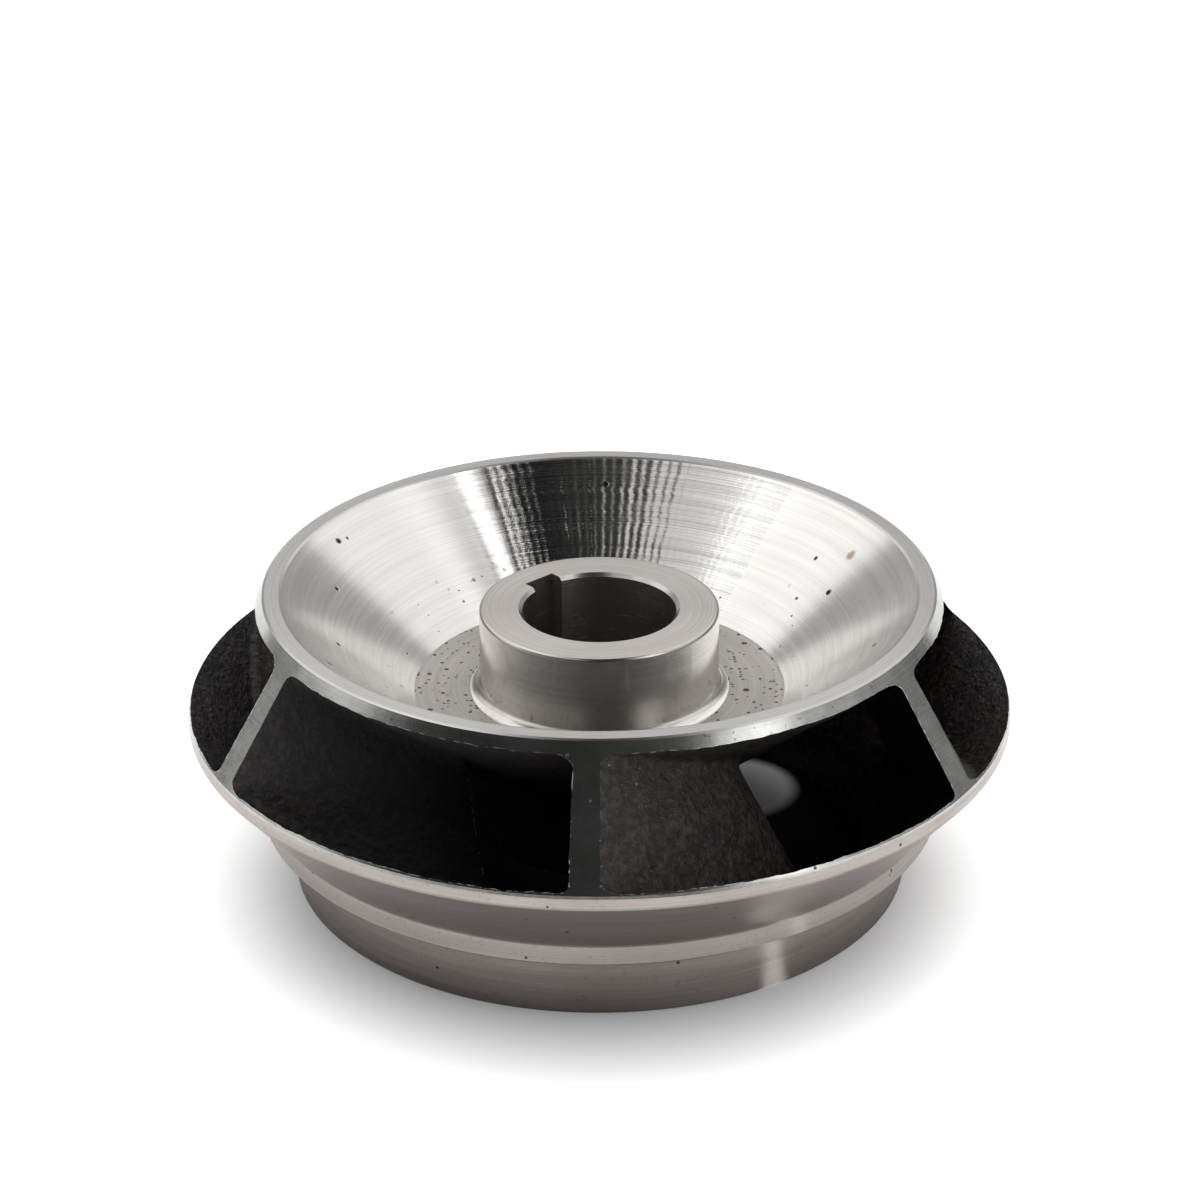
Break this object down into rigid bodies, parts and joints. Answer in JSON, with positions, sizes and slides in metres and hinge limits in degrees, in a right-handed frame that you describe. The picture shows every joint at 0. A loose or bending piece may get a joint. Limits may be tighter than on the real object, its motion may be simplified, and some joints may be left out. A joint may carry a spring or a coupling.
{
  "type": "closed pump impeller",
  "caption": "Closed mixed-flow pump impeller, cast and turned in one piece, with slanted outlet passages, a turned dish in its back and a keyed hub bore.",
  "frame": {"origin": "centre of the eye ring's foot, on the shaft axis", "axes": "+Z along the shaft axis, from the eye towards the hub; the keyway lies at 133 degrees from +X about +Z"},
  "size_m": [0.1604, 0.1604, 0.0598],
  "materials": {
    "steel": "turned bright outside and in the dish, dark and rough as cast inside the passages"
  },
  "bodies": {
    "root": {"impeller": "steel"}
  },
  "joints": []
}
